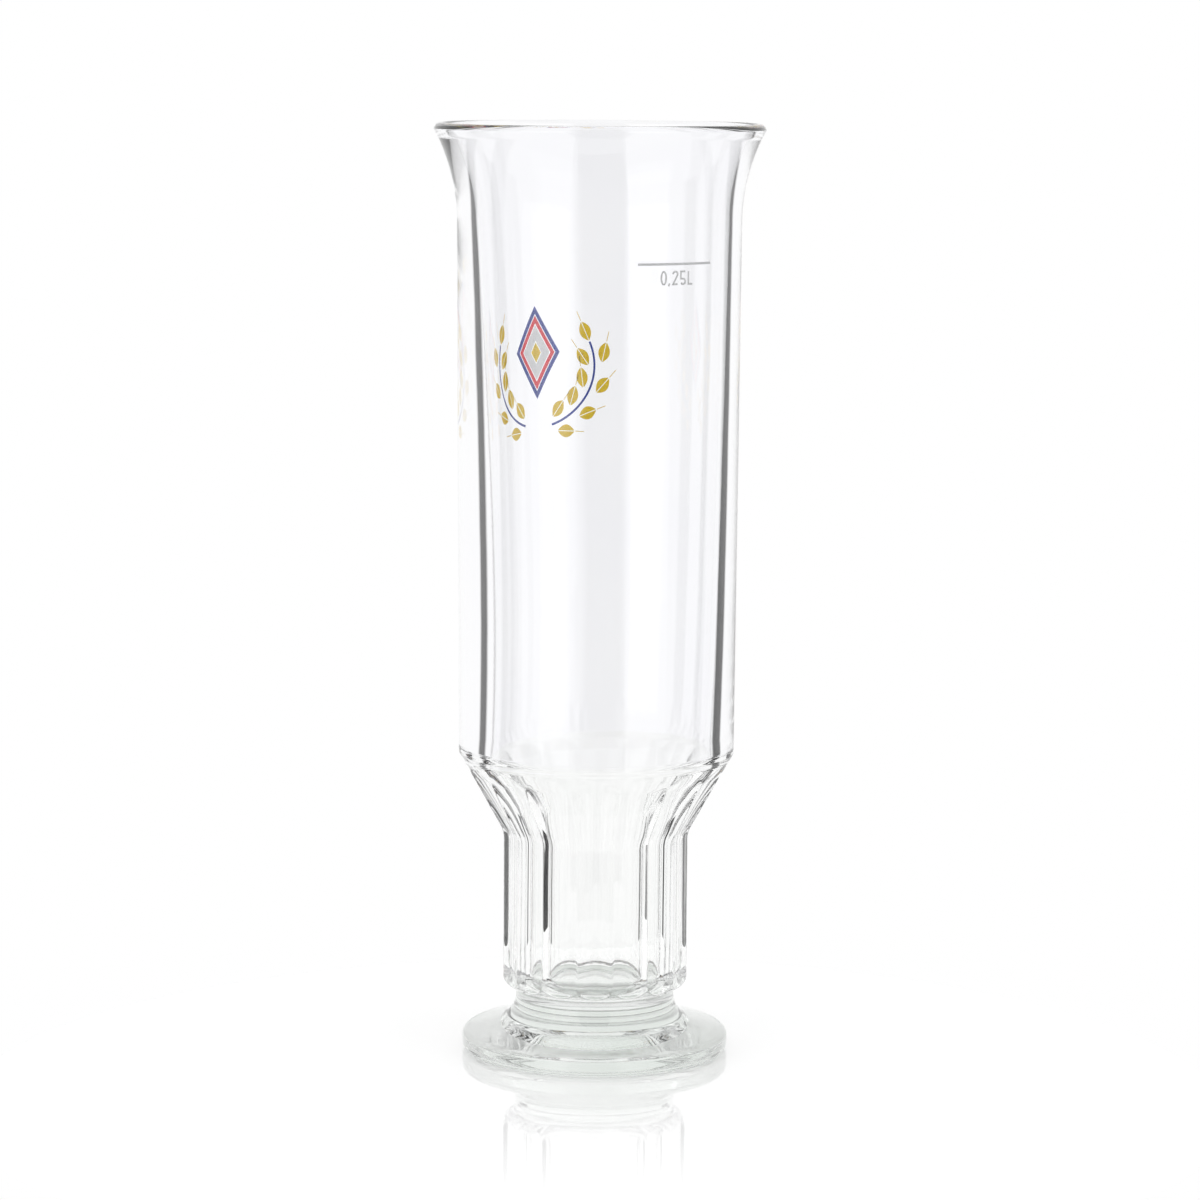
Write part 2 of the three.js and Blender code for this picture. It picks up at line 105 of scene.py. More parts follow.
def revolve(name, outline):
    """A closed skin, made by turning an outline of radius and height round the axis of the glass."""
    build = bmesh.new()
    turns = [2 * math.pi * step / ROUND for step in range(ROUND)]
    rings = []
    for radius, height in outline:
        if radius < TINY:
            rings.append([build.verts.new((0, 0, height))] * ROUND)
        else:
            places = [(radius * math.sin(turn), -radius * math.cos(turn), height) for turn in turns]
            rings.append([build.verts.new(place) for place in places])
    closing = [(rings[-1], rings[0])] if outline[0][0] > TINY else []
    for lower, upper in list(zip(rings, rings[1:])) + closing:
        for step in range(ROUND):
            after = (step + 1) % ROUND
            corners = dict.fromkeys((lower[step], lower[after], upper[after], upper[step]))
            if len(corners) > 2:
                build.faces.new(corners)
    bmesh.ops.recalc_face_normals(build, faces=build.faces)
    return end_build(build, name)


def finish_skin(piece, joint_heights):
    """Smooth skin with crisp corners. The faces at a fused joint get the piece's second material."""
    mesh = piece.data
    mesh.shade_smooth()
    mesh.set_sharp_from_angle(angle=math.radians(CRISP_ANGLE))
    for face in mesh.polygons:
        at_joint = any(abs(face.center.z - height) < TINY for height in joint_heights)
        if at_joint and abs(face.normal.z) > LEVEL_FACE:
            face.material_index = 1


class Field:
    """A socket of a node tree, so that what varies over a surface is written as plain arithmetic."""

    def __init__(self, tree, socket=None):
        self.tree = tree
        self.socket = socket

    def node(self, kind, settings=None, sockets=None, output=0):
        """Adds one node, sets it up, gives its sockets values or links, and returns one output."""
        node = self.tree.nodes.new(kind)
        for name, value in (settings or {}).items():
            setattr(node, name, value)
        for name, value in (sockets or {}).items():
            if isinstance(value, Field):
                self.tree.links.new(value.socket, node.inputs[name])
            else:
                node.inputs[name].default_value = value
        return Field(self.tree, node.outputs[output])

    def maths(self, operation, *terms, clamp=False):
        settings = {"operation": operation, "use_clamp": clamp}
        return self.node("ShaderNodeMath", settings, dict(enumerate(terms)))

    def __add__(self, other):
        return self.maths("ADD", self, other)

    def __sub__(self, other):
        return self.maths("SUBTRACT", self, other)

    def __mul__(self, other):
        return self.maths("MULTIPLY", self, other)

    def __truediv__(self, other):
        return self.maths("DIVIDE", self, other)

    def __rsub__(self, other):
        return self.maths("SUBTRACT", other, self)

    def __rtruediv__(self, other):
        return self.maths("DIVIDE", other, self)

    __radd__ = __add__
    __rmul__ = __mul__


def new_material(name):
    """A material and its node tree, which starts with a Principled shader."""
    material = bpy.data.materials.new(name)
    material.use_nodes = True
    return material, material.node_tree


def between(share, first, second):
    """A colour that goes from the first to the second as the share goes from 0 to 1."""
    # A Mix node's colour sockets share their names with its number sockets, so they go by place.
    sockets = {"Factor": share, 6: (*first, 1), 7: (*second, 1)}
    return share.node("ShaderNodeMix", {"data_type": "RGBA"}, sockets, 2)


def glass(name, waves, wave_size, tint):
    """Clear glass whose skin is gently wavy and a little smeared, with a faint tint that drifts."""
    material, tree = new_material(name)
    shader = tree.nodes["Principled BSDF"]
    start = Field(tree)
    place = start.node("ShaderNodeTexCoord", output="Object")
    drift = start.node("ShaderNodeTexNoise", {}, {"Vector": place, "Scale": TINT_SCALE, "Detail": 2}, "Fac")
    skin = start.node("ShaderNodeTexNoise", {}, {"Vector": place, "Scale": 1 / wave_size, "Detail": 1}, "Fac")
    smear = start.node("ShaderNodeTexNoise", {}, {"Vector": place, "Scale": SMEAR_SCALE, "Detail": 4}, "Fac")
    bump = start.node("ShaderNodeBump", {}, {"Height": skin, "Strength": 1, "Distance": waves})
    tree.links.new(between(drift, (1, 1, 1), tint).socket, shader.inputs["Base Color"])
    tree.links.new((smear * SMEAR_ROUGHNESS).socket, shader.inputs["Roughness"])
    tree.links.new(bump.socket, shader.inputs["Normal"])
    shader.inputs["Transmission Weight"].default_value = 1
    shader.inputs["IOR"].default_value = GLASS_IOR
    return material


def fused_joint():
    """Where two pieces of glass are fused there is no surface left to see."""
    material, tree = new_material("fused_joint")
    tree.nodes.remove(tree.nodes["Principled BSDF"])
    clear = Field(tree).node("ShaderNodeBsdfTransparent")
    tree.links.new(clear.socket, tree.nodes["Material Output"].inputs["Surface"])
    return material


def flare(wall, lip):
    """Radius and turn in degrees of the arc that carries a wall out to the lip."""
    rise = RIM_HEIGHT - LIP_THICKNESS / 2 - FLARE_START
    reach = lip - wall
    radius = (reach * reach + rise * rise) / (2 * reach)
    return radius, math.degrees(math.asin(rise / radius))


def bore(height):
    """Radius of the hollow, which opens slowly at first and faster towards the rim."""
    share = (height - STEP_HEIGHT) / (FLARE_START - STEP_HEIGHT)
    return BOWL_BASE_BORE + (BOWL_TOP_BORE - BOWL_BASE_BORE) * share ** BORE_SWELL


def drift_bore(piece):
    """The hollow of a blown glass runs a little off the axis of its mould, most at half height."""
    vertices = piece.data.vertices
    normals = [vertex.normal.copy() for vertex in vertices]
    for vertex, outward in zip(vertices, normals):
        place = vertex.co
        faces_axis = outward.x * place.x + outward.y * place.y < 0
        if not faces_axis or place.z < DRIFT_START:
            continue
        if place.z < DRIFT_HEIGHT:
            away = (DRIFT_HEIGHT - place.z) / (DRIFT_HEIGHT - DRIFT_START)
            place.x += BORE_DRIFT * (1 - away ** 2) ** 2
        else:
            away = (place.z - DRIFT_HEIGHT) / (RIM_HEIGHT - DRIFT_HEIGHT)
            place.x += BORE_DRIFT * (1 - away ** 2)


outer_flare, outer_turn = flare(BOWL_TOP_RADIUS, RIM_RADIUS)
inner_flare, inner_turn = flare(BOWL_TOP_BORE, RIM_RADIUS - LIP_THICKNESS)
lip_centre = (RIM_RADIUS - LIP_THICKNESS / 2, RIM_HEIGHT - LIP_THICKNESS / 2)
bore_heights = [height for _, height in straight((0, FLARE_START), (0, STEP_HEIGHT), steps=30)[1:]]
seam_shares = [1 - step / SEAM_STEPS for step in range(SEAM_STEPS + 1)]
seam = [(BOWL_BASE_BORE + SEAM_DEPTH * math.sin(math.pi * share) ** 2, STEP_HEIGHT + SEAM_HEIGHT * share)
        for share in seam_shares]
bowl_outline = (
    straight((BOWL_BASE_RADIUS, STEP_HEIGHT), (BOWL_TOP_RADIUS, FLARE_START), steps=12)
    + arc((BOWL_TOP_RADIUS + outer_flare, FLARE_START), outer_flare, 180, 180 - outer_turn, steps=16)
    + arc(lip_centre, LIP_THICKNESS / 2, 0, 180, steps=20)[1:]
    + arc((BOWL_TOP_BORE + inner_flare, FLARE_START), inner_flare, 180 - inner_turn, 180, steps=16)[1:]
    + [(bore(height), height) for height in bore_heights]
    + seam
)
bowl = revolve("glass_bowl", bowl_outline)
drift_bore(bowl)
finish_skin(bowl, [STEP_HEIGHT])
joint = fused_joint()
bowl.data.materials.append(
    glass("bowl_glass", waves=0.02 * MM, wave_size=14 * MM, tint=(0.955, 0.957, 0.98)))
bowl.data.materials.append(joint)
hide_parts("bowl")
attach(bowl, "root")

# Fluted stem
# The stem is pressed in one go below the bowl: a shoulder that narrows to a short hollow shank, with
# sixteen concave flutes that end in arches under the seam and in scallops above the neck.
SHOULDER_ANGLE = 29
SHOULDER_TOP_CURVE = 1.6 * MM
SHOULDER_FOOT_CURVE = 6 * MM
SHANK_RADIUS = 20.1 * MM
SHANK_BOTTOM = 13.9 * MM
NECK_RADIUS = 17.05 * MM
NECK_HEIGHT = (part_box("fluted_stem")[0].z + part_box("foot")[1].z) / 2
FUNNEL_ANGLE = 37
FUNNEL_TOP_CURVE = 2 * MM
FUNNEL_FOOT_CURVE = 20 * MM
SHANK_BORE = 13.6 * MM
WELL_FLOOR = 14.2 * MM
WELL_CORNER = 4.2 * MM
WELL_RING = 0.6
FLUTES = {"Flutes": 16, "Flute depth": 0.9 * MM, "Flute top": 63.4 * MM, "Runout": 3 * MM,
          "Ridge softness": 0.03, "Edge softness": 0.08 * MM}


def narrowing(top, foot, angle, top_curve, foot_curve):
    """Heights below the top, and radii, at which a wall that narrows is straight."""
    lean = math.radians(angle)
    bend = 1 - math.cos(lean)
    straight_top = top - top_curve * bend
    straight_foot = foot + foot_curve * bend
    top_drop = top_curve * math.sin(lean)
    foot_drop = foot_curve * math.sin(lean)
    drop = top_drop + (straight_top - straight_foot) / math.tan(lean) + foot_drop
    return straight_top, straight_foot, top_drop, foot_drop, drop


shoulder_top, shoulder_foot, shoulder_in, shoulder_out, shoulder_drop = narrowing(
    BOWL_BASE_RADIUS, SHANK_RADIUS, SHOULDER_ANGLE, SHOULDER_TOP_CURVE, SHOULDER_FOOT_CURVE)
funnel_drop = narrowing(BOWL_BASE_BORE, SHANK_BORE, FUNNEL_ANGLE, FUNNEL_TOP_CURVE, FUNNEL_FOOT_CURVE)[-1]
shoulder_base = STEP_HEIGHT - shoulder_drop
funnel_base = STEP_HEIGHT - funnel_drop
heel = SHANK_RADIUS - NECK_RADIUS
stem_outline = (
    [(0, NECK_HEIGHT)]
    + straight((NECK_RADIUS, NECK_HEIGHT), (NECK_RADIUS, SHANK_BOTTOM), steps=4)
    + arc((NECK_RADIUS, SHANK_BOTTOM + heel), heel, -90, 0, steps=24)
    + straight((SHANK_RADIUS, SHANK_BOTTOM + heel), (SHANK_RADIUS, shoulder_base), steps=8)[1:]
    + arc((SHANK_RADIUS + SHOULDER_FOOT_CURVE, shoulder_base), SHOULDER_FOOT_CURVE,
          180, 180 - SHOULDER_ANGLE, steps=12)
    + straight((shoulder_foot, shoulder_base + shoulder_out),
               (shoulder_top, STEP_HEIGHT - shoulder_in), steps=44)[1:]
    + arc((BOWL_BASE_RADIUS - SHOULDER_TOP_CURVE, STEP_HEIGHT), SHOULDER_TOP_CURVE,
          -SHOULDER_ANGLE, 0, steps=20)
    + arc((BOWL_BASE_BORE - FUNNEL_TOP_CURVE, STEP_HEIGHT), FUNNEL_TOP_CURVE,
          0, -FUNNEL_ANGLE, steps=12)
    + arc((SHANK_BORE + FUNNEL_FOOT_CURVE, funnel_base), FUNNEL_FOOT_CURVE,
          180 - FUNNEL_ANGLE, 180, steps=16)
    + arc((SHANK_BORE - WELL_CORNER, WELL_FLOOR + WELL_CORNER), WELL_CORNER, 0, -90, steps=12)
    + [(WELL_RING * (SHANK_BORE - WELL_CORNER), WELL_FLOOR), (0, WELL_FLOOR)]
)


def modifier_tree(name, sizes):
    """A tree for a Geometry Nodes modifier with one named input for each size."""
    tree = bpy.data.node_groups.new(name, "GeometryNodeTree")
    tree.interface.new_socket("Geometry", in_out="INPUT", socket_type="NodeSocketGeometry")
    tree.interface.new_socket("Geometry", in_out="OUTPUT", socket_type="NodeSocketGeometry")
    kinds = {int: "NodeSocketInt", float: "NodeSocketFloat", bpy.types.Material: "NodeSocketMaterial"}
    for label, value in sizes.items():
        tree.interface.new_socket(label, in_out="INPUT", socket_type=kinds[type(value)])
    given = tree.nodes.new("NodeGroupInput")
    sockets = {socket.name: Field(tree, socket) for socket in given.outputs if socket.name}
    return tree, sockets


def end_tree(tree, geometry, material):
    """Realizes what the tree made, gives it its material and hands it out."""
    real = geometry.node("GeometryNodeRealizeInstances", {}, {"Geometry": geometry})
    finished = real.node("GeometryNodeSetMaterial", {}, {"Geometry": real, "Material": material})
    out = tree.nodes.new("NodeGroupOutput")
    tree.links.new(finished.socket, out.inputs["Geometry"])


def shape_by(piece, tree, sizes):
    """Runs a tree on a piece with its sizes, and keeps the result as the piece's plain mesh."""
    modifier = piece.modifiers.new(tree.name, "NODES")
    modifier.node_group = tree
    for item in tree.interface.items_tree:
        if item.in_out == "INPUT" and item.name in sizes:
            modifier[item.identifier] = sizes[item.name]
    bpy.context.view_layer.update()
    shaped = piece.evaluated_get(bpy.context.evaluated_depsgraph_get())
    mesh = bpy.data.meshes.new_from_object(shaped)
    piece.modifiers.clear()
    piece.data = mesh


def flute_tree(sizes):
    """Presses each point of a plain stem inwards, to the floor of the flute that it lies in."""
    tree, given = modifier_tree("press_flutes", sizes)
    place = Field(tree).node("GeometryNodeInputPosition")
    x = place.node("ShaderNodeSeparateXYZ", {}, {0: place})
    y = Field(tree, x.socket.node.outputs["Y"])
    height = Field(tree, x.socket.node.outputs["Z"])
    radius = x.maths("SQRT", x * x + y * y)
    azimuth = x.maths("ARCTAN2", x, 0 - y)
    climb = x.maths("MAXIMUM", height - given["Shoulder base"], 0)
    bent = x.maths("MINIMUM", climb, given["Shoulder bend"])
    curve = given["Shoulder curve"]
    ridge = (given["Shank radius"] + curve - x.maths("SQRT", curve * curve - bent * bent)
             + (climb - bent) * given["Shoulder slope"])
    swing = x.maths("COSINE", azimuth * given["Flutes"] / 2)
    softness = given["Ridge softness"]
    hollow = x.maths("SQRT", swing * swing + softness * softness)
    # The run-out lifts the floor of a flute by 0 to 2 depths, until it has left the skin.
    runout = x.maths("MINIMUM", x.maths("MAXIMUM", (height - given["Flute top"]) / given["Runout"] + 1, 0), 2)
    floor = ridge + given["Flute depth"] * (runout - hollow)
    pressed = x.maths("SMOOTH_MIN", floor, radius, given["Edge softness"])
    shrink = pressed / x.maths("MAXIMUM", radius, MM)
    flat = x.node("ShaderNodeCombineXYZ", {}, {"X": x * shrink, "Y": y * shrink, "Z": height})
    outside = x.node("FunctionNodeCompare", {"data_type": "FLOAT", "operation": "GREATER_THAN"},
                     {0: radius, 1: given["Outside from"] + climb * given["Shoulder slope"]})
    moved = x.node("GeometryNodeSetPosition", {},
                   {"Geometry": given["Geometry"], "Selection": outside, "Position": flat})
    end_tree(tree, moved, given["Glass"])
    return tree


flute_sizes = {
    **FLUTES,
    "Glass": glass("stem_glass", waves=0.02 * MM, wave_size=6 * MM, tint=(0.95, 0.96, 0.95)),
    "Shank radius": SHANK_RADIUS,
    "Shoulder base": shoulder_base,
    "Shoulder bend": shoulder_out,
    "Shoulder curve": SHOULDER_FOOT_CURVE,
    "Shoulder slope": math.tan(math.radians(SHOULDER_ANGLE)),
    "Outside from": (NECK_RADIUS + SHANK_BORE) / 2,
}
stem = revolve("glass_stem", stem_outline)
shape_by(stem, flute_tree(flute_sizes), flute_sizes)
drift_bore(stem)
finish_skin(stem, [STEP_HEIGHT, NECK_HEIGHT])
stem.data.materials.append(joint)
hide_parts("fluted_stem")
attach(stem, "root")

# Foot
# The foot is a low dome of solid glass with a rounded edge, and it sweeps up into the neck in one curve.
# It is pressed with the stem, rests on a flat ring, and is hollowed underneath so that it doesn't rock.
FOOT_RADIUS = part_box("foot")[1].x
FOOT_BOTTOM_CURVE = 1.8 * MM
FOOT_SIDE = 1.4 * MM
FOOT_TOP_CURVE = 1.6 * MM
DOME_SLOPE = 17
REST_WIDTH = 8 * MM
RECESS_DEPTH = 0.8 * MM
lean = math.radians(DOME_SLOPE)
rest_outer = FOOT_RADIUS - FOOT_BOTTOM_CURVE
rest_inner = rest_outer - REST_WIDTH
recess_curve = (RECESS_DEPTH ** 2 + rest_inner ** 2) / (2 * RECESS_DEPTH)
recess_turn = math.degrees(math.asin(rest_inner / recess_curve))
top_corner = (FOOT_RADIUS - FOOT_TOP_CURVE, FOOT_BOTTOM_CURVE + FOOT_SIDE)
dome_edge = (top_corner[0] + FOOT_TOP_CURVE * math.sin(lean),
             top_corner[1] + FOOT_TOP_CURVE * math.cos(lean))
left_to_climb = NECK_HEIGHT - dome_edge[1] - (dome_edge[0] - NECK_RADIUS) * math.tan(lean)
sweep = left_to_climb / (1 / math.cos(lean) - math.tan(lean))
sweep_middle = NECK_RADIUS + sweep
dome_end = (sweep_middle - sweep * math.sin(lean), NECK_HEIGHT - sweep * math.cos(lean))
foot_outline = (
    arc((0, RECESS_DEPTH - recess_curve), recess_curve, 90, 90 - recess_turn, steps=10)
    + arc((rest_outer, FOOT_BOTTOM_CURVE), FOOT_BOTTOM_CURVE, -90, 0, steps=16)
    + arc(top_corner, FOOT_TOP_CURVE, 0, 90 - DOME_SLOPE, steps=16)
    + straight(dome_edge, dome_end, steps=8)[1:]
    + arc((sweep_middle, NECK_HEIGHT), sweep, 270 - DOME_SLOPE, 180, steps=24)
    + [(0, NECK_HEIGHT)]
)
foot = revolve("glass_foot", foot_outline)
finish_skin(foot, [NECK_HEIGHT])
foot.data.materials.append(
    glass("foot_glass", waves=0.03 * MM, wave_size=8 * MM, tint=(0.6, 0.67, 0.61)))
foot.data.materials.append(joint)
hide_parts("foot")
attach(foot, "root")

# Capacity mark
# A level line on the right of the bowl with its figures below it, screen-printed in grey enamel and fired
# on. The film is a few hundredths of a millimetre thick, satin and faintly mottled, and has melted into
# the skin of the glass, so that its back shows its full colour through the wall.
FILM = 0.04 * MM
FILM_BITE = 0.01 * MM
MARK_AZIMUTH = 32.4
MARK_HEIGHT = 170.8 * MM
MARK_LENGTH = 18 * MM
MARK_STROKE = 0.5 * MM
FIGURE_DROP = 1.1 * MM
FIGURE_HEIGHT = 3 * MM
FIGURE_WIDTH = 1.5 * MM
FIGURE_STROKE = 0.4 * MM
FIGURE_SPACING = 0.42 * MM
TWO_BOW_END = -36
FIVE_BOW_END = -153
OVAL_STEPS = 48
MITRE_LIMIT = 2
# Light spreads this far inside the ink, so the film glows on both of its sides.
INK_GLOW = 0.3 * MM
INK_THINNED = 0.88
INK_SMOOTHEST = 0.25
INK_ROUGHEST = 0.5
CLOUD_SCALE = 700
WEAVE_SCALE = 5000
WEAVE_DEPTH = 0.01 * MM
INKS = {"grey_ink": (0.55, 0.56, 0.57), "navy_ink": (0.002, 0.008, 0.16), "red_ink": (0.9, 0.003, 0.008),
        "pale_ink": (0.82, 0.85, 0.9), "gold_ink": (0.98, 0.42, 0.001)}
WALL_SLOPE = (BOWL_TOP_RADIUS - BOWL_BASE_RADIUS) / (FLARE_START - STEP_HEIGHT)


def enamel(name, color):
    """Fired enamel ink, with cloudy patches and the fine weave of the printing screen in its skin."""
    material, tree = new_material(name)
    shader = tree.nodes["Principled BSDF"]
    start = Field(tree)
    place = start.node("ShaderNodeTexCoord", output="Object")
    cloud = start.node("ShaderNodeTexNoise", {}, {"Vector": place, "Scale": CLOUD_SCALE, "Detail": 3}, "Fac")
    thin = tuple(INK_THINNED * part for part in color)
    roughness = cloud * (INK_ROUGHEST - INK_SMOOTHEST) + INK_SMOOTHEST
    weave = start.node("ShaderNodeTexVoronoi", {}, {"Vector": place, "Scale": WEAVE_SCALE}, "Distance")
    bump = start.node("ShaderNodeBump", {}, {"Height": weave, "Strength": 0.3, "Distance": WEAVE_DEPTH})
    tree.links.new(between(cloud, thin, color).socket, shader.inputs["Base Color"])
    tree.links.new(roughness.socket, shader.inputs["Roughness"])
    tree.links.new(bump.socket, shader.inputs["Normal"])
    shader.inputs["Subsurface Weight"].default_value = 1
    shader.inputs["Subsurface Radius"].default_value = (1, 1, 1)
    shader.inputs["Subsurface Scale"].default_value = INK_GLOW
    return material


inks = {slot: enamel("fired_" + slot, color) for slot, color in INKS.items()}


def print_sizes(azimuth, height, slot):
    """Where a print lies on the bowl, the cone of the wall that it follows, and its ink."""
    return {"Azimuth": math.radians(azimuth), "Height": height, "Wall radius": BOWL_BASE_RADIUS,
            "Wall foot": STEP_HEIGHT, "Wall slope": WALL_SLOPE, "Bite": FILM_BITE, "Ink": inks[slot]}


def film_tree(sizes):
    """Lays a flat print round the bowl: its width runs round the wall, and its height stays upright."""
    tree, given = modifier_tree("lay_print", sizes)
    place = Field(tree).node("GeometryNodeInputPosition")
    across = place.node("ShaderNodeSeparateXYZ", {}, {0: place})
    up = Field(tree, across.socket.node.outputs["Y"])
    outwards = Field(tree, across.socket.node.outputs["Z"])
    height = up + given["Height"]
    middle = given["Wall radius"] + (given["Height"] - given["Wall foot"]) * given["Wall slope"]
    turn = across / middle + given["Azimuth"]
    wall = given["Wall radius"] + (height - given["Wall foot"]) * given["Wall slope"]
    radius = wall - given["Bite"] + outwards
    round_wall = place.node("ShaderNodeCombineXYZ", {}, {
        "X": radius * turn.maths("SINE", turn), "Y": 0 - radius * turn.maths("COSINE", turn), "Z": height})
    laid = place.node("GeometryNodeSetPosition", {}, {"Geometry": given["Geometry"], "Position": round_wall})
    end_tree(tree, laid, given["Ink"])
    return tree


def lay_print(build, nodes, azimuth, height, slot, cuts=0):
    """Turns flat printed shapes into one film on the wall, which stands for the nodes of those shapes."""
    if cuts:
        bmesh.ops.subdivide_edges(build, edges=build.edges[:], cuts=cuts, use_grid_fill=True)
    for face in build.faces:
        face.normal_update()
        if face.normal.z < 0:
            face.normal_flip()
    bmesh.ops.solidify(build, geom=build.faces[:], thickness=FILM)
    lowest = min(vertex.co.z for vertex in build.verts)
    bmesh.ops.translate(build, verts=build.verts, vec=(0, 0, -lowest))
    bmesh.ops.recalc_face_normals(build, faces=build.faces)
    piece = end_build(build, "print_" + nodes[0])
    shape_by(piece, print_tree, print_sizes(azimuth, height, slot))
    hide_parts(*nodes)
    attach(piece, "root")


def stroke(build, points, width):
    """A pen stroke of even width along a list of points, with mitred corners."""
    points = [Vector(point) for point in points]
    pairs = []
    for before, point, after in zip([points[0], *points], points, [*points[1:], points[-1]]):
        arriving = (point - before).normalized()
        leaving = (after - point).normalized()
        along = (arriving + leaving).normalized()
        bend = max(along.dot(arriving), along.dot(leaving), 1 / MITRE_LIMIT)
        sideways = Vector((-along.y, along.x)) * width / 2 / bend
        pairs.append([build.verts.new((*edge, 0)) for edge in (point + sideways, point - sideways)])
    for first, second in zip(pairs, pairs[1:]):
        build.faces.new((first[0], first[1], second[1], second[0]))


def ring(build, outer, inner):
    """A closed band between two loops with as many points as each other."""
    loops = [[build.verts.new((*point, 0)) for point in loop] for loop in (outer, inner)]
    for here, after in zip(range(len(outer)), [*range(1, len(outer)), 0]):
        build.faces.new((loops[0][here], loops[0][after], loops[1][after], loops[1][here]))


def oval(width, height):
    """Points of an ellipse round the origin."""
    turns = [2 * math.pi * step / OVAL_STEPS for step in range(OVAL_STEPS)]
    return [(width / 2 * math.cos(turn), height / 2 * math.sin(turn)) for turn in turns]


print_tree = film_tree(print_sizes(0, MARK_HEIGHT, "grey_ink"))
mark_line = bmesh.new()
stroke(mark_line, [(-MARK_LENGTH / 2, 0), (MARK_LENGTH / 2, 0)], MARK_STROKE)
lay_print(mark_line, ["mark_line"], MARK_AZIMUTH, MARK_HEIGHT, "grey_ink", cuts=31)

high = (FIGURE_HEIGHT - FIGURE_STROKE) / 2
wide = (FIGURE_WIDTH - FIGURE_STROKE) / 2
figure_strokes = {
    "mark_comma": [(0, FIGURE_STROKE / 2 - high), (-FIGURE_STROKE / 2, -FIGURE_STROKE - high)],
    "mark_two": arc((0, high - wide), wide, 180, TWO_BOW_END, steps=20) + [(-wide, -high), (wide, -high)],
    "mark_five": [(wide, high), (-wide, high), (-wide, 2 * wide - high)]
                 + arc((0, wide - high), wide, 90, FIVE_BOW_END, steps=20),
    "mark_litre": [(-wide, high), (-wide, -high), (wide, -high)],
}
figure_widths = {"mark_zero": FIGURE_WIDTH, "mark_comma": FIGURE_STROKE, "mark_two": FIGURE_WIDTH,
                 "mark_five": FIGURE_WIDTH, "mark_litre": FIGURE_WIDTH}
figure_middle = MARK_HEIGHT - MARK_STROKE / 2 - FIGURE_DROP - FIGURE_HEIGHT / 2
mark_radius = BOWL_BASE_RADIUS + (MARK_HEIGHT - STEP_HEIGHT) * WALL_SLOPE
cursor = -(sum(figure_widths.values()) + FIGURE_SPACING * (len(figure_widths) - 1)) / 2
for node, width in figure_widths.items():
    figure = bmesh.new()
    if node == "mark_zero":
        ring(figure, oval(FIGURE_WIDTH, FIGURE_HEIGHT),
             oval(FIGURE_WIDTH - 2 * FIGURE_STROKE, FIGURE_HEIGHT - 2 * FIGURE_STROKE))
    else:
        stroke(figure, figure_strokes[node], FIGURE_STROKE)
    figure_azimuth = MARK_AZIMUTH + math.degrees((cursor + width / 2) / mark_radius)
    lay_print(figure, [node], figure_azimuth, figure_middle, "grey_ink", cuts=2)
    cursor += width + FIGURE_SPACING

# Badge
# Nested lozenges between two upswept ears of barley, printed in four enamel inks on the far wall, so that
# they are seen through the bowl. Each grain is split by a fine furrow and ends in an awn.
BADGE_AZIMUTH = 214
BADGE_HEIGHT = 145 * MM
LOZENGE_WIDTH = 13.6 * MM
LOZENGE_HEIGHT = 20 * MM
LOZENGE_LIFT = 2.8 * MM
FRAME_BAND = 0.95 * MM
FIELD_BAND = 1.9 * MM
INK_SEAM = 0.2 * MM
EAR_CLEARANCE = 3.5 * MM
# An ear follows an oval round the lozenge between these two angles from straight down.
EAR_TURNS = (16, 112)
EAR_STEPS = 240
STALK_STRIDE = 8
GRAIN_LENGTH = 4.6 * MM
GRAIN_WIDTH = 2.8 * MM
GRAIN_LEAN = math.radians(26)
GRAIN_FURROW = 0.16 * MM
GRAIN_STEPS = 14
GRAIN_BLUNTNESS = 0.03
AWN_LENGTH = 2.2 * MM
AWN_WIDTH = 0.16 * MM
STALK_WIDTH = 0.5 * MM


def lozenge(inset):
    """Corners of the lozenge, moved inwards by an inset from its edges."""
    kept = 1 - 2 * math.hypot(1 / LOZENGE_WIDTH, 1 / LOZENGE_HEIGHT) * inset
    wide, high = LOZENGE_WIDTH / 2 * kept, LOZENGE_HEIGHT / 2 * kept
    return [(-wide, LOZENGE_LIFT), (0, LOZENGE_LIFT - high), (wide, LOZENGE_LIFT), (0, LOZENGE_LIFT + high)]


def grain(build, centre, heading):
    """Two halves of a pointed grain, with an awn beyond its tip."""
    along = Vector((math.sin(heading), math.cos(heading)))
    across = Vector((along.y, -along.x))
    kept = 1 - 2 * GRAIN_BLUNTNESS
    shares = [GRAIN_BLUNTNESS + kept * step / GRAIN_STEPS for step in range(GRAIN_STEPS + 1)]
    for half_side in (-1, 1):
        pairs = []
        for share in shares:
            spine = centre + along * GRAIN_LENGTH * (share - 0.5)
            reach = max(2 * share * (1 - share) * GRAIN_WIDTH, GRAIN_FURROW)
            ends = (spine + across * half_side * GRAIN_FURROW / 2, spine + across * half_side * reach)
            pairs.append([build.verts.new((*end, 0)) for end in ends])
        for first, second in zip(pairs, pairs[1:]):
            build.faces.new((first[0], first[1], second[1], second[0]))
    tip = centre + along * (GRAIN_LENGTH / 2 + AWN_WIDTH)
    stroke(build, [tip, tip + along * AWN_LENGTH], AWN_WIDTH)


